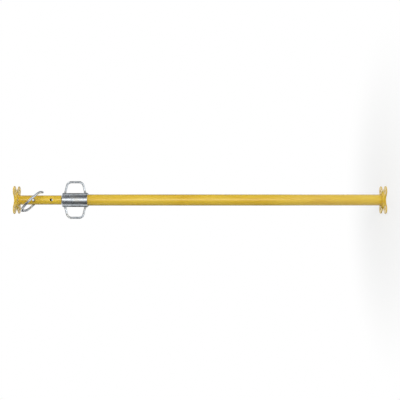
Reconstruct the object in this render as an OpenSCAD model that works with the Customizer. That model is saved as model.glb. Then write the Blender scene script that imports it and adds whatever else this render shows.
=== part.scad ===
// Adjustable steel prop with a covered thread.
// It stands upright: origin at the middle of the foot, +Z along the tubes.

/* [Lengths] */
// Length from foot to head with the inner tube fully in
closed_length = 1600; // [1500:50:2000]
// Length of inner tube that shows between the nut and the head plate
inner_shown = 200; // [190:5:240]

/* [Tubes] */
// Outside diameter of the outer tube
outer_d = 48.3; // [46:0.1:50]
// Wall of the outer tube
outer_wall = 2.3; // [2:0.1:2.8]
// Outside diameter of the inner tube
inner_d = 40; // [36:0.5:40.5]
// Wall of the inner tube
inner_wall = 2.3; // [2:0.1:3.2]
// Distance between pin holes
hole_pitch = 75; // [70:1:76]
// Number of pin holes
hole_count = 17; // [6:1:17]
// Diameter of the pin holes
pin_hole_d = 12; // [11:0.5:13]

/* [Plates] */
// Overall width of each end plate
plate_w = 120; // [110:1:140]
// Thickness of the plate steel
plate_t = 4; // [3:0.5:5]
// Radius of each rounded lobe
lobe_r = 22; // [18:1:24]
// Half width of the plate where its sides curve in
waist = 42; // [38:1:44]
// Distance between nail holes, along each side
nail_spacing = 76; // [70:1:80]
// Diameter of the nail holes
nail_d = 12; // [8:0.5:14]
// How far the middle of the plate is pressed in
dish = 6; // [4:0.5:8]

/* [Nut] */
// Length of the sleeve
sleeve_length = 112; // [100:1:125]
// Outside diameter of the sleeve
sleeve_d = 60.3; // [58:0.1:64]
// Wall of the sleeve
sleeve_wall = 3.6; // [3:0.1:4]
// Height of the threaded ring inside the sleeve
ring_h = 28; // [20:1:28]
// Diameter of the bar that the handles are bent from
handle_bar_d = 9; // [8:0.5:10]
// How far each handle stands out from the sleeve
handle_reach = 52; // [46:1:60]
// Distance between a handle's feet, centre to centre
handle_span = 88; // [80:1:92]
// Bend radius of a handle's corners, on the bar's centre line
handle_bend = 20; // [16:1:24]
// How far each leg of a handle leans towards the other, in degrees
handle_lean = 14; // [0:1:16]

/* [Pin] */
// Diameter of the pin's wire
pin_d = 10; // [9:0.5:10.5]
// How far the pin's leg reaches past the middle of the tube
pin_tip = 32; // [30:1:36]
// Distance from the leg to the hook's long side
hook_side = 65; // [58:1:68]
// Distance from the leg to the hook's short side
hook_return = 48; // [42:1:49]
// Angle at which the hook hangs, in degrees
hook_tilt = 45; // [43:1:50]

/* [Hidden] */
$fn = 96;
bar_facets = 48;

yellow_paint = [0.86, 0.70, 0.16];
zinc_plate = [0.80, 0.83, 0.86];

outer_r = outer_d / 2;
inner_r = inner_d / 2;
sleeve_r = sleeve_d / 2;
bore_r = sleeve_r - sleeve_wall;
running_gap = 0.05;
end_gap = 1;
// How far a cutter runs past the face it cuts
past = 1;

// Heights, from the foot upwards
seat_z = dish + plate_t;
head_seat_z = closed_length - seat_z;
rim_z = closed_length - inner_shown;
sleeve_z = rim_z - sleeve_length;
lip_t = 4;
foot_clearance = 2;
ring_inset = 2;
hole_below_head = 80;
outer_top_z = rim_z - lip_t - end_gap;
inner_foot_z = seat_z + foot_clearance;
ring_z = sleeve_z + ring_inset;
nut_middle_z = sleeve_z + sleeve_length / 2;
top_hole_z = closed_length - hole_below_head;

// Plate outline: the curve between two lobes touches both of them
lobe_at = plate_w / 2 - lobe_r;
waist_step = waist - lobe_at;
scallop_r = (lobe_at * lobe_at + waist_step * waist_step - lobe_r * lobe_r) / (2 * (lobe_r - waist_step));
scallop_at = waist + scallop_r;
touch = atan2(scallop_at - lobe_at, lobe_at);
nail_at = nail_spacing / 2;
lobe_steps = 12;
hollow_steps = 6;

// Plate section
drain_r = 8;
boss_r = 30;
bend_run = 10;
bend_r = 3;
sheet_reach = plate_w;

weld_leg = 5;
foot_weld = 3;

// Pin: where its bends start, either side of the tube, and the length of its short side
leg_back = 30;
hook_far = 34;
return_length = 34;

// ---- shared shapes ----

// A point on a circle, as [x, y]
function on_circle(centre, r, angle) = centre + r * [cos(angle), sin(angle)];

// Points along an arc from one angle to another
function arc_points(centre, r, from, to, steps = 5) =
    [for (i = [0 : steps]) on_circle(centre, r, from + (to - from) * i / steps)];

// Straight run of round bar along +X from the origin
module bar(d, length) {
    rotate([0, 90, 0])
        cylinder(d = d, h = length, $fn = bar_facets);
}

// Bend of round bar in the XY plane about the origin
module bend(d, r, from, angle) {
    rotate([0, 0, from])
        rotate_extrude(angle = angle)
            translate([r, 0])
                circle(d = d, $fn = bar_facets);
}

// Straight run on from a bend's end. It starts inside the bend and is a hair thinner,
// so that the two join cleanly at any angle.
module run_on(d, r, angle, length) {
    inside = 0.5;
    hair = 0.04;
    rotate([0, 0, angle])
        translate([r, -inside, 0])
            rotate([-90, 0, 0])
                cylinder(d = d - hair, h = length + inside, $fn = bar_facets);
}

// Fillet weld with a full face, round a tube that stands on a plate.
// The face is an arc whose centre lies behind the corner by a share of the leg.
module ring_weld(r, leg) {
    fullness = 0.4;
    back = leg * fullness;
    face_r = norm([leg + back, back]);
    start = atan2(back, leg + back);
    rotate_extrude()
        polygon(concat([[r, 0]], arc_points([r - back, -back], face_r, start, 90 - start)));
}

// ---- end plates ----

// Point turned about the origin
function turned(point, angle) = [
    point.x * cos(angle) - point.y * sin(angle),
    point.x * sin(angle) + point.y * cos(angle),
];

// Four-lobed outline: round each lobe, then through the hollow to the next one
module plate_outline() {
    hollow_step = (180 - 2 * touch) / hollow_steps;
    quarter = concat(
        arc_points([lobe_at, lobe_at], lobe_r, touch - 90, 180 - touch, lobe_steps),
        arc_points(
            [0, scallop_at], scallop_r, -touch - hollow_step, hollow_step + touch - 180,
            hollow_steps - 2
        )
    );
    polygon([for (angle = [0 : 90 : 270], point = quarter) turned(point, angle)]);
}

// Section of the pressed sheet, from the drain hole outwards.
// The slope is the line that touches both bends.
module sheet_section() {
    foot_r = boss_r + bend_run;
    bend_drop = dish - 2 * bend_r;
    slope = asin(2 * bend_r / norm([bend_run, bend_drop])) + atan2(bend_drop, bend_run);
    under = concat(
        arc_points([boss_r, dish - bend_r], bend_r, 90, 90 - slope),
        arc_points([foot_r, bend_r], bend_r, 270 - slope, 270)
    );
    over = concat(
        arc_points([foot_r, bend_r + plate_t], bend_r, 270, 270 - slope),
        arc_points([boss_r, dish - bend_r + plate_t], bend_r, 90 - slope, 90)
    );
    polygon(concat(
        [[drain_r, dish]],
        under,
        [[sheet_reach, 0], [sheet_reach, plate_t]],
        over,
        [[drain_r, dish + plate_t]]
    ));
}

// Pressed plate, outer face down on z = 0
module pressed_plate() {
    difference() {
        intersection() {
            rotate_extrude()
                sheet_section();
            linear_extrude(height = seat_z + past)
                plate_outline();
        }
        for (x = [-1, 1], y = [-1, 1])
            translate([x * nail_at, y * nail_at, -past])
                cylinder(d = nail_d, h = plate_t + 2 * past);
    }
}

module base_plate() {
    color(yellow_paint)
        pressed_plate();
}

module head_plate() {
    color(yellow_paint)
        translate([0, 0, closed_length])
            mirror([0, 0, 1])
                pressed_plate();
}

// ---- tubes and their welds ----

module outer_tube() {
    color(yellow_paint)
        translate([0, 0, seat_z])
            difference() {
                cylinder(r = outer_r, h = outer_top_z - seat_z);
                translate([0, 0, -past])
                    cylinder(r = outer_r - outer_wall, h = outer_top_z - seat_z + 2 * past);
            }
}

module base_weld() {
    color(yellow_paint)
        translate([0, 0, seat_z])
            ring_weld(outer_r, weld_leg);
}

module inner_tube() {
    color(yellow_paint)
        difference() {
            translate([0, 0, inner_foot_z])
                cylinder(r = inner_r, h = head_seat_z - inner_foot_z);
            translate([0, 0, inner_foot_z - past])
                cylinder(r = inner_r - inner_wall, h = head_seat_z - inner_foot_z + 2 * past);
            for (i = [0 : hole_count - 1])
                translate([0, 0, top_hole_z - i * hole_pitch])
                    rotate([90, 0, 0])
                        cylinder(d = pin_hole_d, h = 2 * outer_r, center = true);
        }
}

module head_weld() {
    color(yellow_paint)
        translate([0, 0, head_seat_z])
            mirror([0, 0, 1])
                ring_weld(inner_r, weld_leg);
}

// ---- nut ----

// Bush that carries the internal thread and fills the sleeve's lower end
module thread_ring() {
    color(zinc_plate)
        translate([0, 0, ring_z])
            difference() {
                cylinder(r = bore_r - running_gap, h = ring_h);
                translate([0, 0, -past])
                    cylinder(r = outer_r + running_gap, h = ring_h + 2 * past);
            }
}

// Sleeve with its top rolled in to make the rim that the pin bears on
module nut_sleeve() {
    lip_gap = 1.5;
    lip_r = inner_r + lip_gap;
    roll_r = 4.5;
    foot_chamfer = 1;
    color(zinc_plate)
        translate([0, 0, sleeve_z])
            rotate_extrude()
                polygon(concat(
                    [[bore_r, 0], [sleeve_r - foot_chamfer, 0], [sleeve_r, foot_chamfer]],
                    arc_points([sleeve_r - roll_r, sleeve_length - roll_r], roll_r, 0, 90),
                    [[lip_r, sleeve_length], [lip_r, sleeve_length - lip_t]],
                    arc_points(
                        [sleeve_r - roll_r, sleeve_length - roll_r],
                        roll_r - sleeve_wall, 90, 0
                    )
                ));
}

// Places its children at a handle's upper foot, with +X along the leg towards the sleeve
module at_handle_foot() {
    translate([sleeve_r, 0, handle_span / 2])
        rotate([0, 180 + handle_lean, 0])
            children();
}

// Room taken by the sleeve, from the middle of its length
module sleeve_space() {
    cylinder(r = sleeve_r, h = 2 * sleeve_length, center = true);
}

// Round bar loop standing out along +X, its feet shaped to the sleeve
module handle_loop() {
    crown_x = sleeve_r + handle_reach - handle_bar_d / 2;
    bend_x = crown_x - handle_bend;
    leg_run = (bend_x + handle_bend * sin(handle_lean) - sleeve_r) / cos(handle_lean);
    bend_z = handle_span / 2 - leg_run * sin(handle_lean) - handle_bend * cos(handle_lean);
    root = 4;
    difference() {
        union() {
            for (side = [0, 1])
                mirror([0, 0, side])
                    translate([bend_x, 0, bend_z])
                        rotate([90, 0, 0]) {
                            bend(handle_bar_d, handle_bend, 0, 90 - handle_lean);
                            run_on(handle_bar_d, handle_bend, 90 - handle_lean, leg_run + root);
                        }
            translate([crown_x, 0, -bend_z])
                cylinder(d = handle_bar_d, h = 2 * bend_z, $fn = bar_facets);
        }
        sleeve_space();
    }
}

// Fillets round the two feet of a loop
module foot_welds() {
    sunk = 3.5;
    edge = 0.6;
    difference() {
        for (side = [0, 1])
            mirror([0, 0, side])
                at_handle_foot()
                    rotate([0, 90, 0])
                        translate([0, 0, -foot_weld])
                            cylinder(
                                d1 = handle_bar_d + 2 * edge,
                                d2 = handle_bar_d + 2 * (foot_weld + sunk),
                                h = foot_weld + sunk
                            );
        for (side = [0, 1])
            mirror([0, 0, side])
                at_handle_foot()
                    translate([-2 * foot_weld, 0, 0])
                        bar(handle_bar_d, 4 * foot_weld);
        sleeve_space();
    }
}

module handle_right() {
    color(zinc_plate)
        translate([0, 0, nut_middle_z])
            handle_loop();
}

module handle_left() {
    color(zinc_plate)
        translate([0, 0, nut_middle_z])
            mirror([1, 0, 0])
                handle_loop();
}

module handle_right_welds() {
    color(zinc_plate)
        translate([0, 0, nut_middle_z])
            foot_welds();
}

module handle_left_welds() {
    color(zinc_plate)
        translate([0, 0, nut_middle_z])
            mirror([1, 0, 0])
                foot_welds();
}

// ---- pin ----

// G-shaped pin: a straight leg through the inner tube, and a hook that passes round the tube.
// It is drawn flat, with its leg along X, then hung at its tilt with the tip towards -Y.
module g_pin() {
    near_bend = hook_side / 2;
    far_bend = (hook_side + hook_return) / 2;
    point = 1.5;
    color(zinc_plate)
        translate([0, 0, top_hole_z])
            rotate([0, 180 + hook_tilt, 0])
                rotate([0, 0, -90]) {
                    translate([-leg_back, 0, 0])
                        bar(pin_d, leg_back + pin_tip - point);
                    translate([pin_tip - point, 0, 0])
                        rotate([0, 90, 0])
                            cylinder(d1 = pin_d, d2 = pin_d - 2 * point, h = point);
                    translate([-leg_back, near_bend, 0])
                        bend(pin_d, near_bend, 90, 180);
                    translate([-leg_back, hook_side, 0])
                        bar(pin_d, leg_back + hook_far);
                    translate([hook_far, hook_side - far_bend, 0])
                        bend(pin_d, far_bend, -90, 180);
                    translate([hook_far - return_length, -hook_return, 0])
                        bar(pin_d, return_length);
                }
}

outer_tube();
base_plate();
base_weld();
inner_tube();
head_plate();
head_weld();
thread_ring();
nut_sleeve();
handle_left();
handle_right();
handle_left_welds();
handle_right_welds();
g_pin();
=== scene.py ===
import math

import bmesh
import bpy
from mathutils import Matrix, Vector


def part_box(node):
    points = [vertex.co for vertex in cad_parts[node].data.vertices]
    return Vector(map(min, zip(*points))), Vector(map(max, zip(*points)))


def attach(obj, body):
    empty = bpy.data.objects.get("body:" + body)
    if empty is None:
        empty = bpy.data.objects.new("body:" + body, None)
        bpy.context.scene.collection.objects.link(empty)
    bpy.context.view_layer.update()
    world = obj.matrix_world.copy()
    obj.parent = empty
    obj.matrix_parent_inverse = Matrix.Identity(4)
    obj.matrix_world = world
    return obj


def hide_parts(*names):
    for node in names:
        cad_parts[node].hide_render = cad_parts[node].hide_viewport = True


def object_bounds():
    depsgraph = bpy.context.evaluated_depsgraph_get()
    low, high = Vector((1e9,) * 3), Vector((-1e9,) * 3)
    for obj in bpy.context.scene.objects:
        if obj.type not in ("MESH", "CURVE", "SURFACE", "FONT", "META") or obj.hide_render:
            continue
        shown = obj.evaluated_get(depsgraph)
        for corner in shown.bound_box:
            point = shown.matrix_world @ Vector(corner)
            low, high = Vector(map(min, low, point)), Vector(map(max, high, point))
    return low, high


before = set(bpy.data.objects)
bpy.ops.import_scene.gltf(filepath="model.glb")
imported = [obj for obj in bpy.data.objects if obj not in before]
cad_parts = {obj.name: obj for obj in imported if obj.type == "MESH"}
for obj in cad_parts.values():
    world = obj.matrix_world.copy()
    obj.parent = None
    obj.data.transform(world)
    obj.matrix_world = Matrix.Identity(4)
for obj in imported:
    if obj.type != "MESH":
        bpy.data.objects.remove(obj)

cad_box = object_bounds()


# ---- Room, light and camera ----
# A plain pale floor under the prop and a white surround. The lamps give soft light, strongest
# from the +X side. Cards that only reflections see give the plated steel its bright line and
# its dark bands.

prop_height = cad_box[1][2]
prop_middle = Vector((0, 0, prop_height / 2))


def link(new_object):
    """Puts a new object into the scene."""
    bpy.context.scene.collection.objects.link(new_object)
    return new_object


def round_the_prop(bearing, distance, height):
    """A place at a bearing from the camera's side (-Y), counted towards +X."""
    angle = math.radians(bearing)
    return Vector((distance * math.sin(angle), -distance * math.cos(angle), height))


def area_lamp(name, bearing, distance, size_across, size_up, watts, tint):
    """A soft lamp at the height of the prop's middle, facing the prop. Reflections don't see it."""
    lamp = bpy.data.lights.new(name, "AREA")
    lamp.shape = "RECTANGLE"
    lamp.size = size_across
    lamp.size_y = size_up
    lamp.energy = watts
    lamp.color = tint
    holder = link(bpy.data.objects.new(name, lamp))
    holder.location = round_the_prop(bearing, distance, prop_middle.z)
    towards = Vector((-holder.location.x, -holder.location.y, 0)).normalized()
    across = towards.cross(Vector((0, 0, 1)))
    holder.rotation_euler = Matrix((across, (0, 0, 1), -towards)).transposed().to_euler()
    holder.visible_glossy = False
    return holder


area_lamp("tall_softbox", 44, 2.8, 2.0, 3.2, 20, (1.0, 0.99, 0.97))
area_lamp("key", 20, 2.6, 0.9, 2.4, 38, (1.0, 0.985, 0.96))
area_lamp("front_fill", -30, 3.2, 2.0, 2.6, 5, (0.95, 0.975, 1.0))
area_lamp("back_fill", 170, 3.0, 1.6, 2.6, 24, (1.0, 1.0, 1.0))

# The overhead lamp is hung above the head and faces straight down
overhead = area_lamp("overhead", 0, 0.01, 2.4, 2.4, 42, (1.0, 1.0, 1.0))
overhead.location = (0, 0, prop_height + 1.8)
overhead.rotation_euler = (0, 0, 0)


def reflected_card(name, bearing, spread, grey, axis=Vector((0, 0, 1))):
    """A card that only reflections see, bent round the prop's middle about the axis. Its
    bearing and spread are counted from the camera's side, as the axis turns."""
    distance = 3.4
    card_length = 4.2
    card_bm = bmesh.new()
    start = Matrix.Rotation(math.radians(bearing - spread / 2), 3, axis) @ Vector((0, -distance, 0))
    edge = bmesh.ops.create_vert(card_bm, co=prop_middle + start - axis * card_length / 2)["vert"]
    bmesh.ops.spin(
        card_bm, geom=edge, cent=prop_middle, axis=axis, dvec=(0, 0, 0),
        angle=math.radians(spread), steps=12, use_merge=False, use_duplicate=False,
    )
    drawn_out = bmesh.ops.extrude_edge_only(card_bm, edges=card_bm.edges[:])
    far_side = [item for item in drawn_out["geom"] if isinstance(item, bmesh.types.BMVert)]
    bmesh.ops.translate(card_bm, verts=far_side, vec=axis * card_length)
    card_mesh = bpy.data.meshes.new(name)
    card_bm.to_mesh(card_mesh)
    card_bm.free()
    card = link(bpy.data.objects.new(name, card_mesh))
    card.visible_camera = False
    card.visible_diffuse = False
    card.visible_shadow = False
    card.visible_transmission = False
    paper = bpy.data.materials.new(name)
    paper.use_nodes = True
    paper_nodes = paper.node_tree.nodes
    paper_nodes.clear()
    paper_glow = paper_nodes.new("ShaderNodeEmission")
    paper_glow.inputs["Color"].default_value = (1, 1, 1, 1)
    paper_glow.inputs["Strength"].default_value = grey
    paper_out = paper_nodes.new("ShaderNodeOutputMaterial")
    paper.node_tree.links.new(paper_glow.outputs[0], paper_out.inputs["Surface"])
    card_mesh.materials.append(paper)


# A narrow bright strip in the middle of a softer one, then dark ones round the rest
reflected_card("bright_card_low", -8, 16, 0.85)
reflected_card("bright_card_middle", 6, 12, 2.4)
reflected_card("bright_card_high", 20, 16, 0.85)
reflected_card("dark_card_low", -50, 68, 0.06)
reflected_card("dark_card_high", 60, 64, 0.10)
reflected_card("dark_card_back_low", -140, 68, 0.06)
reflected_card("dark_card_back_high", 136, 64, 0.14)
reflected_card("dark_card_overhead", 70, 66, 0.10, axis=Vector((-1, 0, 0)))

# The world lights the prop dimly, but the camera and the reflections see it white
room = bpy.data.worlds.new("white_room")
bpy.context.scene.world = room
room.use_nodes = True
room_nodes = room.node_tree.nodes
room_links = room.node_tree.links
room_nodes.clear()
room_light = room_nodes.new("ShaderNodeBackground")
room_light.inputs["Color"].default_value = (0.93, 0.96, 1.0, 1)
room_light.inputs["Strength"].default_value = 0.34
room_seen = room_nodes.new("ShaderNodeBackground")
room_seen.inputs["Color"].default_value = (1, 1, 1, 1)
room_seen.inputs["Strength"].default_value = 1.0
ray = room_nodes.new("ShaderNodeLightPath")
mirror_ray = room_nodes.new("ShaderNodeMath")
mirror_ray.operation = "MAXIMUM"
seen_ray = room_nodes.new("ShaderNodeMath")
seen_ray.operation = "MAXIMUM"
room_mix = room_nodes.new("ShaderNodeMixShader")
room_out = room_nodes.new("ShaderNodeOutputWorld")
room_links.new(ray.outputs["Is Glossy Ray"], mirror_ray.inputs[0])
room_links.new(ray.outputs["Is Transmission Ray"], mirror_ray.inputs[1])
room_links.new(ray.outputs["Is Camera Ray"], seen_ray.inputs[0])
room_links.new(mirror_ray.outputs[0], seen_ray.inputs[1])
room_links.new(seen_ray.outputs[0], room_mix.inputs[0])
room_links.new(room_light.outputs[0], room_mix.inputs[1])
room_links.new(room_seen.outputs[0], room_mix.inputs[2])
room_links.new(room_mix.outputs[0], room_out.inputs["Surface"])

floor_radius = 6.0
floor_gap = 0.0005
floor_bm = bmesh.new()
bmesh.ops.create_circle(floor_bm, cap_ends=True, segments=96, radius=floor_radius)
bmesh.ops.translate(floor_bm, verts=floor_bm.verts, vec=(0, 0, -floor_gap))
floor_mesh = bpy.data.meshes.new("floor")
floor_bm.to_mesh(floor_mesh)
floor_bm.free()
floor = link(bpy.data.objects.new("floor", floor_mesh))

# The floor is painted near the foot, so that it takes the shadow, and melts into white further out
floor_paint = bpy.data.materials.new("floor_paint")
floor_paint.use_nodes = True
floor_nodes = floor_paint.node_tree.nodes
floor_join = floor_paint.node_tree.links.new
floor_shader = floor_nodes["Principled BSDF"]
floor_shader.inputs["Base Color"].default_value = (0.93, 0.93, 0.92, 1)
floor_shader.inputs["Roughness"].default_value = 0.9
floor_shader.inputs["Specular IOR Level"].default_value = 0.2
floor_glow = floor_nodes.new("ShaderNodeEmission")
floor_place = floor_nodes.new("ShaderNodeTexCoord")
floor_distance = floor_nodes.new("ShaderNodeVectorMath")
floor_distance.operation = "LENGTH"
floor_fade = floor_nodes.new("ShaderNodeMapRange")
floor_fade.interpolation_type = "SMOOTHSTEP"
floor_fade.inputs["From Min"].default_value = 0.10
floor_fade.inputs["From Max"].default_value = 0.80
floor_fade.inputs["To Min"].default_value = 0.55
floor_fade.inputs["To Max"].default_value = 1.0
floor_ray = floor_nodes.new("ShaderNodeLightPath")
glow_share = floor_nodes.new("ShaderNodeMath")
glow_share.operation = "MULTIPLY"
floor_mix = floor_nodes.new("ShaderNodeMixShader")
floor_join(floor_place.outputs["Object"], floor_distance.inputs[0])
floor_join(floor_distance.outputs["Value"], floor_fade.inputs["Value"])
floor_join(floor_fade.outputs["Result"], glow_share.inputs[0])
floor_join(floor_ray.outputs["Is Camera Ray"], glow_share.inputs[1])
floor_join(glow_share.outputs[0], floor_mix.inputs[0])
floor_join(floor_shader.outputs[0], floor_mix.inputs[1])
floor_join(floor_glow.outputs[0], floor_mix.inputs[2])
floor_join(floor_mix.outputs[0], floor_nodes["Material Output"].inputs["Surface"])
floor_mesh.materials.append(floor_paint)

# The camera stands level with the middle of the prop, three metres off, and is turned on its
# side, so that the prop lies across the view with its head to the left and +X upwards.
camera_distance = 3.0
view_width = prop_height * 1.09
camera_data = bpy.data.cameras.new("camera")
camera_data.sensor_width = 36
camera_data.lens = camera_data.sensor_width * camera_distance / view_width
camera = link(bpy.data.objects.new("camera", camera_data))
camera.matrix_world = Matrix((
    (0, 1, 0, 0),
    (0, 0, -1, -camera_distance),
    (-1, 0, 0, prop_middle.z),
    (0, 0, 0, 1),
))
bpy.context.scene.camera = camera
bpy.context.scene.view_settings.view_transform = "Standard"


# ---- Outer tube ----
# Welded steel tube, standing on the foot plate. Its thread is rolled into the upper end, under
# the nut. The whole tube is dipped in yellow enamel, and the nut rubs the thread's crests bare.

yellow = (0.690, 0.462, 0.024, 1)
yellow_thin = (0.625, 0.385, 0.015, 1)
yellow_thick = (0.725, 0.515, 0.040, 1)
bare_steel = (0.30, 0.29, 0.27, 1)


def draw_section(bm, corners, joined=False):
    """Draws a section as wire. Each corner is (radius, height, fillet radius), in metres."""
    known = set(bm.verts)
    points = [bm.verts.new((radius, 0, height)) for radius, height, fillet in corners]
    for place in range(len(points) if joined else len(points) - 1):
        bm.edges.new((points[place], points[(place + 1) % len(points)]))
    sharp = [Vector(point.co) for point in points]
    for place, (radius, height, fillet) in enumerate(corners):
        if not fillet:
            continue
        to_last = sharp[place - 1] - sharp[place]
        to_next = sharp[(place + 1) % len(points)] - sharp[place]
        bmesh.ops.bevel(
            bm, geom=[points[place]], offset=fillet / math.tan(to_last.angle(to_next) / 2),
            segments=5, profile=0.5, affect="VERTICES", material=-1, clamp_overlap=False,
        )
    drawn = [vert for vert in bm.verts if vert not in known]
    return drawn + [edge for edge in bm.edges if edge.verts[0] not in known]


def turn_section(bm, section, steps, turns=1.0, rise=0.0):
    """Turns a section about the tube's axis, climbing by rise in each turn."""
    total = round(steps * turns)
    bmesh.ops.spin(
        bm, geom=section, cent=(0, 0, 0), axis=(0, 0, 1), dvec=(0, 0, rise / steps),
        angle=math.tau * total / steps, steps=total, use_merge=turns == 1.0,
        use_duplicate=False,
    )


def tidy_normals(bm):
    bmesh.ops.remove_doubles(bm, verts=bm.verts, dist=1e-6)
    bmesh.ops.recalc_face_normals(bm, faces=bm.faces)


def finish_piece(bm, name, body, slot, finish, *stands_for):
    """Marks the piece's edges for wear, makes it an object, hangs it on its body and hides its CAD
    parts.
    """
    edge_mark = bm.verts.layers.float.new("edge")
    for vert in bm.verts:
        facings = [face.normal for face in vert.link_faces]
        spread = max((a.angle(b, 0) for a in facings for b in facings), default=0)
        vert[edge_mark] = min(1, max(0, (spread - 0.15) / 0.35))
    mesh = bpy.data.meshes.new(name)
    bm.to_mesh(mesh)
    bm.free()
    mesh.shade_smooth()
    mesh.set_sharp_from_angle(angle=math.radians(40))
    mesh.materials.append(finish)
    piece = link(bpy.data.objects.new(name, mesh))
    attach(piece, body)
    if stands_for:
        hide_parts(*stands_for)
    return piece


def step(material, kind, *feeds, **settings):
    """Adds a shader node. Feeds fill its inputs in order, and settings fill the named ones.
    A socket is joined, any other value is set."""
    new_step = material.node_tree.nodes.new("ShaderNode" + kind)
    named = {}
    for name, value in settings.items():
        if name.islower():
            setattr(new_step, name, value)
        else:
            named[name.replace("_", " ")] = value
    for target, value in [*enumerate(feeds), *named.items()]:
        if value is None:
            continue
        if isinstance(value, bpy.types.NodeSocket):
            material.node_tree.links.new(value, new_step.inputs[target])
        else:
            new_step.inputs[target].default_value = value
    return new_step.outputs


def blend_colours(material, share, first, second):
    return step(material, "Mix", share, data_type="RGBA", A=first, B=second)["Result"]


def band(material, value, start, end, low_value=0.0, high_value=1.0):
    """Goes smoothly from low_value to high_value as the value goes from start to end."""
    return step(
        material, "MapRange", value, From_Min=start, From_Max=end, To_Min=low_value,
        To_Max=high_value, interpolation_type="SMOOTHSTEP",
    )["Result"]


def dipped_enamel(name, bare_place=None):
    """Yellow enamel over steel: slow changes of film thickness, faint runs, dust nibs, fine
    scratches along the tube, and small chips. bare_place gives where the steel shows."""
    paint = bpy.data.materials.new(name)
    paint.use_nodes = True
    place = step(paint, "TexCoord")["Object"]
    shader = paint.node_tree.nodes["Principled BSDF"]
    join = paint.node_tree.links.new

    # Film: slow patches of thick and thin paint, drawn out along the tube
    film_place = step(paint, "Mapping", place, Scale=(1, 1, 0.16))["Vector"]
    film = step(paint, "TexNoise", film_place, Scale=30, Detail=3, Roughness=0.5)["Fac"]
    thick = band(paint, film, 0.46, 0.70)
    thin = band(paint, film, 0.52, 0.28)
    colour = blend_colours(paint, thick, yellow, yellow_thick)
    colour = blend_colours(paint, thin, colour, yellow_thin)

    # The film pulls thin over sharp edges, where the colour darkens
    edge = step(paint, "Attribute", attribute_name="edge")["Fac"]
    edge_film = step(paint, "Math", edge, 0.45, operation="MULTIPLY")["Value"]
    colour = blend_colours(paint, edge_film, colour, (0.47, 0.22, 0.012, 1))

    # Fine scratches from sliding in the stack, and rubbed dull patches
    scratch_place = step(paint, "Mapping", place, Scale=(1, 1, 0.035))["Vector"]
    scratch = step(paint, "TexNoise", scratch_place, Scale=900, Detail=2)["Fac"]
    rubbed = step(paint, "TexNoise", place, Scale=16, Detail=6, Roughness=0.65)["Fac"]
    rubbed = band(paint, rubbed, 0.54, 0.64)
    scratch_line = band(paint, scratch, 0.67, 0.72)
    scratched = step(paint, "Math", scratch_line, rubbed, operation="MULTIPLY")["Value"]
    scratched = step(paint, "Math", scratched, 0.5, operation="MULTIPLY")["Value"]
    colour = blend_colours(paint, scratched, colour, (0.80, 0.60, 0.16, 1))

    # Chips: small, sparse, mostly at the edges, down to dark primer and steel
    chip_noise = step(paint, "TexNoise", place, Scale=230, Detail=3, Roughness=0.5)["Fac"]
    chip_lift = step(paint, "Math", edge, 0.16, chip_noise, operation="MULTIPLY_ADD")["Value"]
    chip = band(paint, chip_lift, 0.775, 0.79)
    if bare_place:
        worn = bare_place(paint, place, chip_noise)
        chip = step(paint, "Math", chip, worn, operation="MAXIMUM")["Value"]
    colour = blend_colours(paint, chip, colour, bare_steel)
    join(colour, shader.inputs["Base Color"])
    join(step(paint, "Math", chip, 0.85, operation="MULTIPLY")["Value"], shader.inputs["Metallic"])

    roughness = band(paint, film, 0.3, 0.7, 0.30, 0.42)
    roughness = step(paint, "Math", rubbed, 0.10, roughness, operation="MULTIPLY_ADD")["Value"]
    join(roughness, shader.inputs["Roughness"])

    peel = step(paint, "TexNoise", place, Scale=260, Detail=2)["Fac"]
    nib = step(paint, "TexVoronoi", place, Scale=85)["Distance"]
    nib = band(paint, nib, 0.11, 0.04)
    height = step(paint, "Math", film, 1.6, peel, operation="MULTIPLY_ADD")["Value"]
    height = step(paint, "Math", nib, 0.5, height, operation="MULTIPLY_ADD")["Value"]
    height = step(paint, "Math", scratched, -0.4, height, operation="MULTIPLY_ADD")["Value"]
    height = step(paint, "Math", chip, -1.2, height, operation="MULTIPLY_ADD")["Value"]
    relief = step(paint, "Bump", Strength=0.5, Distance=0.00022, Height=height)["Normal"]
    join(relief, shader.inputs["Normal"])
    shader.inputs["Coat Weight"].default_value = 0.8
    shader.inputs["Coat Roughness"].default_value = 0.15
    return paint


outer_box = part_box("outer_tube")
outer_radius = outer_box[1][0]
outer_foot, outer_rim = outer_box[0][2], outer_box[1][2]
tube_wall = 0.0023
outer_bore = outer_radius - tube_wall
thread_core = outer_radius - 0.00105
thread_pitch = 0.008
thread_start = outer_rim - 0.109
thread_end = outer_rim - 0.003
thread_slope = 0.002
wash_out = 0.006


def rubbed_crests(paint, place, grit):
    """The thread's crests, which the nut has rubbed bare."""
    apart = step(paint, "SeparateXYZ", place)
    flat = step(paint, "CombineXYZ", apart["X"], apart["Y"], 0.0)["Vector"]
    radius = step(paint, "VectorMath", flat, operation="LENGTH")["Value"]
    ragged = step(paint, "Math", grit, 0.0006, radius, operation="MULTIPLY_ADD")["Value"]
    crest = band(paint, ragged, outer_radius - 0.00005, outer_radius + 0.0001)
    in_thread = band(
        paint, apart["Z"], thread_start - thread_slope, thread_start + thread_slope,
    )
    return step(paint, "Math", crest, in_thread, operation="MULTIPLY")["Value"]


tube_bm = bmesh.new()
outer_section = draw_section(tube_bm, [
    (outer_bore, outer_foot, 0.0003),
    (outer_radius, outer_foot, 0.0003),
    (outer_radius, thread_start - thread_slope, 0),
    (thread_core, thread_start + thread_slope, 0),
    (thread_core, outer_rim, 0.0004),
    (outer_bore, outer_rim, 0.0004),
], joined=True)
turn_section(tube_bm, outer_section, 128)
tidy_normals(tube_bm)

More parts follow.
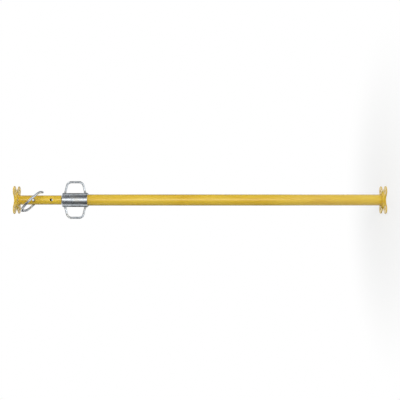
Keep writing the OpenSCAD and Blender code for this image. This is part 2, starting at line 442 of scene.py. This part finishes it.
# The ridge of the thread is turned like a screw, then washed out into the tube at both ends
ridge_bm = bmesh.new()
ridge_foot = thread_core - 0.0002
ridge = draw_section(ridge_bm, [
    (ridge_foot, thread_start - 0.0028, 0),
    (outer_radius - 0.0001, thread_start - 0.0016, 0.0006),
    (outer_radius - 0.0001, thread_start + 0.0016, 0.0006),
    (ridge_foot, thread_start + 0.0028, 0),
], joined=True)
turn_section(ridge_bm, ridge, 64, (thread_end - thread_start) / thread_pitch, thread_pitch)
bmesh.ops.holes_fill(ridge_bm, edges=ridge_bm.edges, sides=0)
for vert in ridge_bm.verts:
    reach = vert.co.xy.length
    wash = min(1, max(0, (vert.co.z - thread_start) / wash_out))
    wash = min(wash, max(0, (thread_end - vert.co.z) / wash_out))
    wanted = ridge_foot + (reach - ridge_foot) * wash
    vert.co.x *= wanted / reach
    vert.co.y *= wanted / reach
tidy_normals(ridge_bm)
ridge_mesh = bpy.data.meshes.new("thread_ridge")
ridge_bm.to_mesh(ridge_mesh)
ridge_bm.free()
tube_bm.from_mesh(ridge_mesh)
bpy.data.meshes.remove(ridge_mesh)
finish_piece(
    tube_bm, "outer_tube_enamelled", "outer", "yellow_paint",
    dipped_enamel("outer_tube_enamel", rubbed_crests), "outer_tube",
)


# ---- End plates ----
# Two like plates, stamped from 4 mm sheet: four round lobes with a nail hole each, hollow sides
# between them, and a middle pressed towards the tube. The shears leave the edges slightly round.

base_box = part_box("base_plate")
head_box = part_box("head_plate")
seat_height = outer_foot
sheet = 0.004
lobe_radius = 0.022
lobe_centre = base_box[1][0] - lobe_radius
hollow_side = 0.042
hollow_step = hollow_side - lobe_centre
hollow_radius = (lobe_centre ** 2 + hollow_step ** 2 - lobe_radius ** 2) / (
    2 * (lobe_radius - hollow_step))
hollow_centre = hollow_side + hollow_radius
lobe_touch = math.atan2(hollow_centre - lobe_centre, lobe_centre)
sheared_edge = 0.0005
strip = 0.0010
nail_place = 0.038
nail_radius = 0.006
drain_radius = 0.0080
dish_floor = 0.0310
dish_rim = 0.0390
press_bend = 0.003


def sheet_edge(bm, centre, radius, inwards, start, sweep, steps):
    """Runs the sheet's sheared edge along an arc. The sheet lies inwards or outwards of it."""
    side = -strip if inwards else strip
    edge = draw_section(bm, [
        (radius + side, 0, 0),
        (radius, 0, sheared_edge),
        (radius, sheet, sheared_edge),
        (radius + side, sheet, 0),
    ])
    verts = [item for item in edge if isinstance(item, bmesh.types.BMVert)]
    bmesh.ops.rotate(bm, verts=verts, cent=(0, 0, 0), matrix=Matrix.Rotation(start, 3, "Z"))
    bmesh.ops.translate(bm, verts=verts, vec=(*centre, 0))
    bmesh.ops.spin(
        bm, geom=edge, cent=(*centre, 0), axis=(0, 0, 1), dvec=(0, 0, 0), angle=sweep,
        steps=steps, use_merge=math.isclose(sweep, math.tau), use_duplicate=False,
    )


def stamped_plate():
    """The plate with its outer face down on z = 0."""
    bm = bmesh.new()
    for quarter in range(4):
        turn = quarter * math.pi / 2
        corner = Matrix.Rotation(turn, 2) @ Vector((lobe_centre, lobe_centre))
        sheet_edge(bm, corner, lobe_radius, True, turn + lobe_touch - math.pi / 2,
                   3 * math.pi / 2 - 2 * lobe_touch, 28)
        side = Matrix.Rotation(turn, 2) @ Vector((0, hollow_centre))
        sheet_edge(bm, side, hollow_radius, False, turn - math.pi + lobe_touch,
                   math.pi - 2 * lobe_touch, 14)
        nail = Matrix.Rotation(turn, 2) @ Vector((nail_place, nail_place))
        sheet_edge(bm, nail, nail_radius, False, 0, math.tau, 32)
    pressed = draw_section(bm, [
        (dish_rim + 0.0011, 0, 0),
        (dish_rim, 0, press_bend),
        (dish_floor, seat_height - sheet, press_bend),
        (drain_radius, seat_height - sheet, sheared_edge),
        (drain_radius, seat_height, sheared_edge),
        (dish_floor, seat_height, press_bend),
        (dish_rim, sheet, press_bend),
        (dish_rim + 0.0011, sheet, 0),
    ])
    turn_section(bm, pressed, 96)

    # The flat of the sheet fills what is left between the edges, above and below
    bmesh.ops.remove_doubles(bm, verts=bm.verts, dist=1e-6)
    for height in (0, sheet):
        rims = [edge for edge in bm.edges if edge.is_boundary
                and all(abs(vert.co.z - height) < 1e-6 for vert in edge.verts)]
        bmesh.ops.triangle_fill(bm, use_beauty=True, edges=rims)
    tidy_normals(bm)
    return bm


plate_enamel = dipped_enamel("plate_enamel")
finish_piece(
    stamped_plate(), "base_plate_stamped", "outer", "yellow_paint", plate_enamel, "base_plate",
)

# The head plate is the same plate, upside down on the inner tube
head_bm = stamped_plate()
bmesh.ops.scale(head_bm, verts=head_bm.verts, vec=(1, 1, -1))
bmesh.ops.translate(head_bm, verts=head_bm.verts, vec=(0, 0, head_box[1][2]))
bmesh.ops.reverse_faces(head_bm, faces=head_bm.faces)
finish_piece(
    head_bm, "head_plate_stamped", "inner", "yellow_paint", plate_enamel, "head_plate",
)


# ---- Tube welds ----
# One weld bead round the foot of the outer tube and one round the top of the inner tube, laid
# in short overlapping ripples that lean back in the middle, and dipped with the rest.

inner_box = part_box("inner_tube")
inner_radius = inner_box[1][0]
weld_leg = 0.005
weld_root = 0.0004
ripple_length = 0.0021
ripple_height = 0.00030


def tube_bead(radius):
    """A fillet bead on z = 0 round a tube of this radius."""
    bm = bmesh.new()
    ripples = round(math.tau * (radius + weld_leg / 2) / ripple_length)
    bead = draw_section(bm, [
        (radius - weld_root, -weld_root, 0),
        (radius + weld_leg, -weld_root, 0.0004),
        (radius + weld_leg * 0.66, weld_leg * 0.66, 0.004),
        (radius - weld_root, weld_leg, 0.0004),
    ], joined=True)
    turn_section(bm, bead, ripples * 5)
    root = Vector((radius, 0))
    for vert in bm.verts:
        around = math.atan2(vert.co.y, vert.co.x)
        out = vert.co.xy.length - root.x
        across = math.atan2(max(out, 0), max(vert.co.z, 0)) / (math.pi / 2)
        lean = 1.3 * math.sin(math.pi * across)
        wave = (around * ripples / math.tau + lean / math.pi) % 1
        ripple = ripple_height * (math.sin(math.pi * wave) - 0.6)
        slow = 0.045 * math.sin(3 * around + 0.7) + 0.03 * math.sin(8 * around + 2.1)
        grow = 1 + slow + ripple / (weld_leg * 0.7)
        if out > 0 and vert.co.z > 0:
            wanted = root.x + out * grow
            vert.co.x, vert.co.y = wanted * math.cos(around), wanted * math.sin(around)
            vert.co.z *= grow
    tidy_normals(bm)
    return bm


bead_enamel = dipped_enamel("bead_enamel")
foot_bead = tube_bead(outer_radius)
bmesh.ops.translate(foot_bead, verts=foot_bead.verts, vec=(0, 0, seat_height))
finish_piece(foot_bead, "base_weld_bead", "outer", "yellow_paint", bead_enamel, "base_weld")

head_bead = tube_bead(inner_radius)
bmesh.ops.scale(head_bead, verts=head_bead.verts, vec=(1, 1, -1))
bmesh.ops.translate(head_bead, verts=head_bead.verts, vec=(0, 0, inner_box[1][2]))
bmesh.ops.reverse_faces(head_bead, faces=head_bead.faces)
finish_piece(head_bead, "head_weld_bead", "inner", "yellow_paint", bead_enamel, "head_weld")


# ---- Inner tube ----
# The thinner tube that slides in the outer one, drilled right through with a row of pin holes.
# The drilled edges are broken and dipped, and the pin has knocked the paint off round the holes.

hole_count = 17
hole_pitch = 0.075
hole_radius = 0.006
top_hole_height = head_box[1][2] - 0.080


def knocked_holes(paint, place, grit):
    """A ragged ring of bare steel round each pin hole."""
    apart = step(paint, "SeparateXYZ", place)
    along = step(
        paint, "Math", apart["Z"], top_hole_height + hole_pitch / 2,
        top_hole_height - hole_pitch / 2, operation="WRAP",
    )["Value"]
    along = step(paint, "Math", along, top_hole_height, operation="SUBTRACT")["Value"]
    flat = step(paint, "CombineXYZ", apart["X"], along, 0.0)["Vector"]
    distance = step(paint, "VectorMath", flat, operation="LENGTH")["Value"]
    ragged = step(paint, "Math", grit, -0.0042, distance, operation="MULTIPLY_ADD")["Value"]
    return band(paint, ragged, hole_radius - 0.00165, hole_radius - 0.00185)


inner_bore = inner_radius - tube_wall
inner_foot, inner_top = inner_box[0][2], inner_box[1][2]
hole_heights = [top_hole_height - hole_pitch * place for place in range(hole_count)]
wall_steps = 96
rim_steps = 48
collar_radius = hole_radius + 0.0011
broken_edge = 0.0004
window_rise = 0.009
window_turn = 7 * math.tau / wall_steps


def wall_window(bm, radius, side, height):
    """The faces of one wall that make room for a pin hole and a collar round it."""
    reach = radius * math.sin(window_turn) + 1e-5
    return [face for face in bm.faces if all(
        abs(vert.co.z - height) < window_rise + 1e-5 and side * vert.co.y > 0
        and abs(vert.co.x) < reach and abs(vert.co.xy.length - radius) < 1e-5
        for vert in face.verts
    )]


def drilled_ring(bm, radius, side, height, reach):
    """The ring of edges where a rod of the given reach, along Y, would pass through a wall."""
    made = bmesh.ops.create_circle(
        bm, cap_ends=False, segments=rim_steps, radius=reach,
        matrix=Matrix.Translation((0, 0, height)) @ Matrix.Rotation(math.pi / 2, 4, "X"),
    )
    for vert in made["verts"]:
        vert.co.y = side * math.sqrt(radius ** 2 - vert.co.x ** 2)
    return list({edge for vert in made["verts"] for edge in vert.link_edges})


# The tube is turned whole. At each hole a window is cut in the outer wall and in the bore, and
# filled with a collar round the hole's rim. The two rims are then joined through the wall.
drilled_bm = bmesh.new()
stations = [hole + up for hole in hole_heights for up in (window_rise, 0, -window_rise)]
inner_section = draw_section(drilled_bm, [
    (inner_bore, inner_top, broken_edge),
    (inner_radius, inner_top, broken_edge),
    *[(inner_radius, height, 0) for height in stations],
    (inner_radius, inner_foot, broken_edge),
    (inner_bore, inner_foot, broken_edge),
    *[(inner_bore, height, 0) for height in reversed(stations)],
], joined=True)
turn_section(drilled_bm, inner_section, wall_steps)
tidy_normals(drilled_bm)
for side in (-1, 1):
    for height in hole_heights:
        rims = []
        for radius in (inner_radius, inner_bore):
            window = wall_window(drilled_bm, radius, side, height)
            sides = [edge for face in window for edge in face.edges]
            opening = [edge for edge in sides if sides.count(edge) == 1]
            bmesh.ops.delete(drilled_bm, geom=window, context="FACES")
            collar = drilled_ring(drilled_bm, radius, side, height, collar_radius)
            rim = drilled_ring(drilled_bm, radius, side, height, hole_radius)
            bmesh.ops.bridge_loops(drilled_bm, edges=opening + collar)
            bmesh.ops.bridge_loops(drilled_bm, edges=collar + rim)
            rims += rim
        bmesh.ops.bridge_loops(drilled_bm, edges=rims)
tidy_normals(drilled_bm)
drilled_rims = [edge for edge in drilled_bm.edges if edge.calc_face_angle(0) > math.radians(40)]
bmesh.ops.bevel(
    drilled_bm, geom=drilled_rims, offset=broken_edge, segments=3, profile=0.5, affect="EDGES",
    material=-1, clamp_overlap=False,
)
finish_piece(
    drilled_bm, "inner_tube_drilled", "inner", "yellow_paint",
    dipped_enamel("inner_tube_enamel", knocked_holes), "inner_tube",
)


# ---- Nut sleeve ----
# Length of steel tube that covers the thread. Its top is rolled in to make the rim that the
# pin bears on, and the whole nut is bright zinc plated, bluish and a little hazy.

sleeve_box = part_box("nut_sleeve")
sleeve_radius = sleeve_box[1][0]
sleeve_foot, sleeve_rim = sleeve_box[0][2], sleeve_box[1][2]
sleeve_bore = sleeve_radius - 0.0036
lip_height = 0.0040
lip_radius = inner_radius + 0.0015
roll_radius = 0.0045
nut_middle = (sleeve_foot + sleeve_rim) / 2


def bright_zinc(name, dull_place=None):
    """Bright zinc plating: a bluish metal, with haze, drawn lines, small dents and stains.
    dull_place gives where heat or handling has left it dull."""
    plating = bpy.data.materials.new(name)
    plating.use_nodes = True
    place = step(plating, "TexCoord")["Object"]
    shader = plating.node_tree.nodes["Principled BSDF"]
    join = plating.node_tree.links.new

    # Slow drift between the bluish and the slightly straw-coloured passivation
    drift = step(plating, "TexNoise", place, Scale=22, Detail=3, Roughness=0.55)["Fac"]
    straw = band(plating, drift, 0.50, 0.68, 0.0, 0.7)
    colour = blend_colours(plating, straw, (0.70, 0.745, 0.79, 1), (0.73, 0.715, 0.655, 1))

    # Stains: small water marks and finger grease
    stain = step(plating, "TexNoise", place, Scale=75, Detail=6, Roughness=0.65)["Fac"]
    stained = band(plating, stain, 0.56, 0.66)
    stain_share = step(plating, "Math", stained, 0.35, operation="MULTIPLY")["Value"]
    colour = blend_colours(plating, stain_share, colour, (0.46, 0.47, 0.46, 1))

    # Lines left from drawing the steel, and short scratches across them
    line_place = step(plating, "Mapping", place, Scale=(1, 1, 0.03))["Vector"]
    line = step(plating, "TexNoise", line_place, Scale=1100, Detail=2)["Fac"]
    across_place = step(
        plating, "Mapping", place, Rotation=(0.5, 0.9, 0.3), Scale=(1, 0.03, 1),
    )["Vector"]
    across = step(plating, "TexNoise", across_place, Scale=800, Detail=1)["Fac"]
    scratch = band(plating, across, 0.70, 0.74)

    edge = step(plating, "Attribute", attribute_name="edge")["Fac"]
    roughness = band(plating, drift, 0.3, 0.7, 0.20, 0.30)
    roughness = step(plating, "Math", stained, 0.12, roughness, operation="MULTIPLY_ADD")["Value"]
    roughness = step(plating, "Math", line, 0.10, roughness, operation="MULTIPLY_ADD")["Value"]
    roughness = step(plating, "Math", edge, -0.06, roughness, operation="MULTIPLY_ADD")["Value"]
    if dull_place:
        dull = dull_place(plating, place, stain)
        colour = blend_colours(plating, dull, colour, (0.37, 0.36, 0.335, 1))
        roughness = step(plating, "Math", dull, 0.24, roughness, operation="MULTIPLY_ADD")["Value"]
    join(colour, shader.inputs["Base Color"])
    join(roughness, shader.inputs["Roughness"])

    height = step(plating, "Math", drift, 2.2, line, operation="MULTIPLY_ADD")["Value"]
    height = step(plating, "Math", scratch, -0.25, height, operation="MULTIPLY_ADD")["Value"]
    height = step(plating, "Math", stain, 0.5, height, operation="MULTIPLY_ADD")["Value"]
    relief = step(plating, "Bump", Strength=0.35, Distance=0.0002, Height=height)["Normal"]
    join(relief, shader.inputs["Normal"])
    shader.inputs["Metallic"].default_value = 1.0
    return plating


handle_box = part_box("handle_right")
foot_height = 0.044


def heat_round_feet(plating, place, grit):
    """Dull plating where the handles' feet were welded on."""
    apart = step(plating, "SeparateXYZ", place)
    out = step(plating, "Math", apart["X"], operation="ABSOLUTE")["Value"]
    out = step(plating, "Math", out, sleeve_radius, operation="SUBTRACT")["Value"]
    up = step(plating, "Math", apart["Z"], nut_middle, operation="SUBTRACT")["Value"]
    up = step(plating, "Math", up, operation="ABSOLUTE")["Value"]
    up = step(plating, "Math", up, foot_height, operation="SUBTRACT")["Value"]
    away = step(plating, "CombineXYZ", out, apart["Y"], up)["Vector"]
    distance = step(plating, "VectorMath", away, operation="LENGTH")["Value"]
    ragged = step(plating, "Math", grit, 0.010, distance, operation="MULTIPLY_ADD")["Value"]
    return band(plating, ragged, 0.0185, 0.0115, 0.0, 0.55)


sleeve_bm = bmesh.new()
sleeve_section = draw_section(sleeve_bm, [
    (sleeve_bore, sleeve_foot, 0.0004),
    (sleeve_radius, sleeve_foot, 0.0010),
    (sleeve_radius, sleeve_rim, roll_radius),
    (lip_radius, sleeve_rim, 0.0009),
    (lip_radius, sleeve_rim - lip_height, 0.0004),
    (sleeve_bore, sleeve_rim - 0.0037, 0.0009),
], joined=True)
turn_section(sleeve_bm, sleeve_section, 144)
tidy_normals(sleeve_bm)
finish_piece(
    sleeve_bm, "nut_sleeve_rolled", "nut", "zinc_plate",
    bright_zinc("sleeve_zinc", heat_round_feet), "nut_sleeve",
)


# ---- Thread ring ----
# The bush in the sleeve's lower end that carries the internal thread. It is turned from bar,
# with both ends chamfered, and pressed in before plating.

ring_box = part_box("thread_ring")
ring_foot, ring_top = ring_box[0][2], ring_box[1][2]
ring_radius = ring_box[1][0]
ring_bore = outer_radius + 0.00005
ring_chamfer = 0.0010
ring_bm = bmesh.new()
ring_section = draw_section(ring_bm, [
    (ring_bore, ring_foot + 1.2 * ring_chamfer, 0),
    (ring_bore + ring_chamfer, ring_foot, 0.0002),
    (ring_radius, ring_foot, 0.0003),
    (ring_radius, ring_top, 0.0003),
    (ring_bore + ring_chamfer, ring_top, 0.0002),
    (ring_bore, ring_top - 1.2 * ring_chamfer, 0),
], joined=True)
turn_section(ring_bm, ring_section, 128)
tidy_normals(ring_bm)
finish_piece(
    ring_bm, "thread_ring_turned", "ring", "zinc_plate", bright_zinc("ring_zinc"), "thread_ring",
)


# ---- Handles ----
# Two like loops of round bar, one on each side of the sleeve. Each is bent twice, its legs lean
# together, and its two feet are welded to the sleeve.

handle_bar = 0.0045
handle_bend = 0.020
handle_lean = math.radians(14)
crown = handle_box[1][0] - handle_bar
bend_out = crown - handle_bend
leg_run = (bend_out + handle_bend * math.sin(handle_lean) - sleeve_radius) / math.cos(handle_lean)
bend_up = foot_height - leg_run * math.sin(handle_lean) - handle_bend * math.cos(handle_lean)
foot_root = 0.003


def bar_end(bm, centre, facing, radius, sides=32):
    """A closed ring of edges for the end of a round bar."""
    turn = Vector((0, 0, 1)).rotation_difference(Vector(facing)).to_matrix().to_4x4()
    ring = bmesh.ops.create_circle(
        bm, cap_ends=False, segments=sides, radius=radius,
        matrix=Matrix.Translation(centre) @ turn,
    )
    return list({edge for vert in ring["verts"] for edge in vert.link_edges})


def run_bar(bm, ring, along):
    """Draws the bar straight on."""
    drawn = bmesh.ops.extrude_edge_only(bm, edges=ring)["geom"]
    verts = [item for item in drawn if isinstance(item, bmesh.types.BMVert)]
    bmesh.ops.translate(bm, verts=verts, vec=along)
    ends = set(verts)
    return [item for item in drawn if isinstance(item, bmesh.types.BMEdge)
            and all(vert in ends for vert in item.verts)]


def bend_bar(bm, ring, centre, axis, angle, steps=20):
    """Bends the bar round a former."""
    bent = bmesh.ops.spin(
        bm, geom=ring, cent=centre, axis=axis, dvec=(0, 0, 0), angle=angle, steps=steps,
        use_merge=False, use_duplicate=False,
    )
    return [item for item in bent["geom_last"] if isinstance(item, bmesh.types.BMEdge)]


def round_off(bm, ring, along, radius, chamfer):
    """Closes a bar's end with a small chamfer."""
    verts = list({vert for edge in ring for vert in edge.verts})
    middle = sum((vert.co for vert in verts), Vector()) / len(verts)
    last = run_bar(bm, ring, Vector(along).normalized() * chamfer)
    rim = list({vert for edge in last for vert in edge.verts})
    middle += Vector(along).normalized() * chamfer
    for vert in rim:
        vert.co = middle + (vert.co - middle) * (1 - chamfer / radius)
    bmesh.ops.contextual_create(bm, geom=last)


def handle_loop():
    """The loop on the +X side, from its lower foot to its upper one."""
    bm = bmesh.new()
    leg = Vector((math.cos(handle_lean), 0, math.sin(handle_lean)))
    start = Vector((sleeve_radius, 0, nut_middle - foot_height)) - leg * foot_root
    ring = bar_end(bm, start, leg, handle_bar)
    bmesh.ops.contextual_create(bm, geom=ring)
    ring = run_bar(bm, ring, leg * (leg_run + foot_root))
    swing = handle_lean - math.pi / 2
    ring = bend_bar(bm, ring, (bend_out, 0, nut_middle - bend_up), (0, 1, 0), swing)
    ring = run_bar(bm, ring, (0, 0, 2 * bend_up))
    ring = bend_bar(bm, ring, (bend_out, 0, nut_middle + bend_up), (0, 1, 0), swing)
    back = Vector((-leg.x, 0, leg.z))
    ring = run_bar(bm, ring, back * (leg_run + foot_root))
    bmesh.ops.contextual_create(bm, geom=ring)
    tidy_normals(bm)
    return bm


handle_zinc = bright_zinc("handle_zinc", heat_round_feet)
finish_piece(
    handle_loop(), "handle_right_bent", "nut", "zinc_plate", handle_zinc, "handle_right",
)
left_loop = handle_loop()
bmesh.ops.rotate(
    left_loop, verts=left_loop.verts, cent=(0, 0, 0), matrix=Matrix.Rotation(math.pi, 3, "Z"),
)
finish_piece(left_loop, "handle_left_bent", "nut", "zinc_plate", handle_zinc, "handle_left")


# ---- Handle welds ----
# A bead round each foot of the handles, laid on the curve of the sleeve. The ripples are close,
# and the beads are plated with the nut.

foot_weld = 0.003
foot_ripples = 18


def foot_bead(bm, side, upper):
    """Lays one bead round a foot: side is 1 or -1 along X, upper is 1 or -1 along Z."""
    known = set(bm.verts)
    bead = draw_section(bm, [
        (handle_bar - 0.0004, foot_weld + 0.0002, 0.0002),
        (handle_bar + foot_weld * 0.70, foot_weld * 0.62, 0.0018),
        (handle_bar + foot_weld + 0.0004, -0.0004, 0.0003),
        (handle_bar - 0.0004, -0.0008, 0),
    ], joined=True)
    turn_section(bm, bead, foot_ripples * 7)
    laid = [vert for vert in bm.verts if vert not in known]
    for vert in laid:
        reach = vert.co.xy.length
        around = math.atan2(vert.co.y, vert.co.x)
        out = reach - handle_bar
        if out > 0 and vert.co.z > 0:
            wave = (around * foot_ripples / math.tau + 0.35 * vert.co.z / foot_weld) % 1
            grow = 1 + 0.17 * (math.sin(math.pi * wave) - 0.7) + 0.06 * math.sin(2 * around + side)
            reach = handle_bar + out * grow
            vert.co.z *= grow
        height = vert.co.z
        sideways = reach * math.cos(around)
        upwards = reach * math.sin(around) / math.cos(handle_lean)
        surface = math.sqrt(sleeve_radius ** 2 - sideways ** 2)
        leg_shift = (surface + height - sleeve_radius) * math.tan(handle_lean)
        vert.co = Vector((
            side * (surface + height),
            side * sideways,
            nut_middle + upper * (foot_height - leg_shift + upwards),
        ))


handle_bead_zinc = bright_zinc("handle_bead_zinc")
for name, side in (("right", 1), ("left", -1)):
    bead_bm = bmesh.new()
    foot_bead(bead_bm, side, 1)
    foot_bead(bead_bm, side, -1)
    tidy_normals(bead_bm)
    finish_piece(
        bead_bm, f"handle_{name}_beads", "nut", "zinc_plate", handle_bead_zinc,
        f"handle_{name}_welds",
    )


# ---- G pin ----
# Round bar bent to a G: a straight leg that goes through the inner tube, and a hook that passes
# round the tube, so that the pin stays on when it is drawn. It is plated like the nut.

pin_radius = 0.005
leg_to_long_side = 0.065
leg_to_short_side = 0.048
leg_tip = 0.032
leg_back = 0.030
hook_far = 0.034
short_side = 0.034
tip_chamfer = 0.0015
pin_tilt = math.radians(45)


def rubbed_leg(plating, place, grit):
    """Dull plating where the leg rubs in the hole."""
    apart = step(plating, "SeparateXYZ", place)
    up = step(plating, "Math", apart["Z"], top_hole_height, operation="SUBTRACT")["Value"]
    away = step(plating, "CombineXYZ", apart["X"], 0.0, up)["Vector"]
    from_leg = step(plating, "VectorMath", away, operation="LENGTH")["Value"]
    on_leg = band(plating, from_leg, 0.0075, 0.0060)
    along = step(plating, "Math", apart["Y"], operation="ABSOLUTE")["Value"]
    ragged = step(plating, "Math", grit, 0.010, along, operation="MULTIPLY_ADD")["Value"]
    near_tube = band(plating, ragged, 0.034, 0.026, 0.0, 0.6)
    return step(plating, "Math", on_leg, near_tube, operation="MULTIPLY")["Value"]


# It is bent flat, leg along -Y and hook on the +X side, then tilted and lifted into its hole
pin_bm = bmesh.new()
near_bend = leg_to_long_side / 2
far_bend = (leg_to_long_side + leg_to_short_side) / 2
ring = bar_end(pin_bm, (0, -leg_tip + tip_chamfer, 0), (0, 1, 0), pin_radius)
tip_ring = list(ring)
ring = run_bar(pin_bm, ring, (0, leg_tip - tip_chamfer + leg_back, 0))
ring = bend_bar(pin_bm, ring, (near_bend, leg_back, 0), (0, 0, 1), -math.pi, 36)
ring = run_bar(pin_bm, ring, (0, -leg_back - hook_far, 0))
ring = bend_bar(
    pin_bm, ring, (leg_to_long_side - far_bend, -hook_far, 0), (0, 0, 1), -math.pi, 48,
)
ring = run_bar(pin_bm, ring, (0, short_side - tip_chamfer, 0))
round_off(pin_bm, ring, (0, 1, 0), pin_radius, tip_chamfer)
round_off(pin_bm, tip_ring, (0, -1, 0), pin_radius, tip_chamfer)
bmesh.ops.rotate(
    pin_bm, verts=pin_bm.verts, cent=(0, 0, 0),
    matrix=Matrix.Rotation(math.pi + pin_tilt, 3, "Y"),
)
bmesh.ops.translate(pin_bm, verts=pin_bm.verts, vec=(0, 0, top_hole_height))
tidy_normals(pin_bm)
finish_piece(
    pin_bm, "g_pin_bent", "pin", "zinc_plate", bright_zinc("pin_zinc", rubbed_leg), "g_pin",
)
